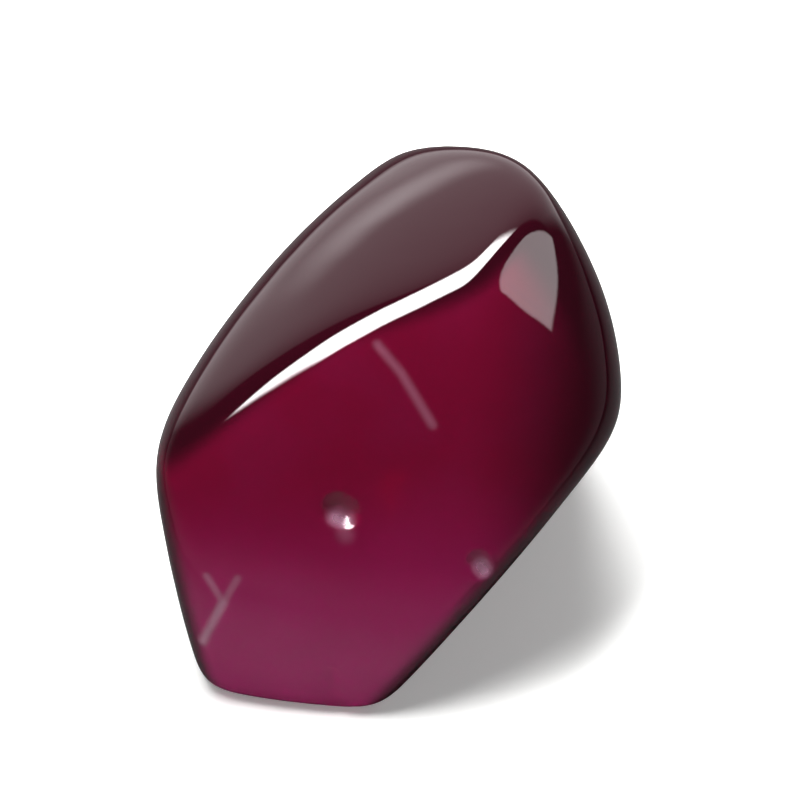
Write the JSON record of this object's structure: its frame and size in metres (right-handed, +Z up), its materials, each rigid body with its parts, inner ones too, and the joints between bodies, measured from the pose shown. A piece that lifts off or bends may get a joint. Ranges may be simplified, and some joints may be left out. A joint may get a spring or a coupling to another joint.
{
  "type": "tumbled garnet stone",
  "caption": "Small polished garnet pebble of clear deep crimson, with soft-edged faces and one bright ridge, that rests on a flat face.",
  "frame": {"origin": "middle of the outline seen from above, on the flat face that the stone rests on", "axes": "+Z up from the resting face, -Y towards the big clear sloping face, +X to its right, along the stone's width"},
  "size_m": [0.0086, 0.0104, 0.0072],
  "materials": {
    "garnet": "polished clear deep crimson"
  },
  "bodies": {
    "root": {"tumbled_garnet": "garnet"}
  },
  "joints": []
}
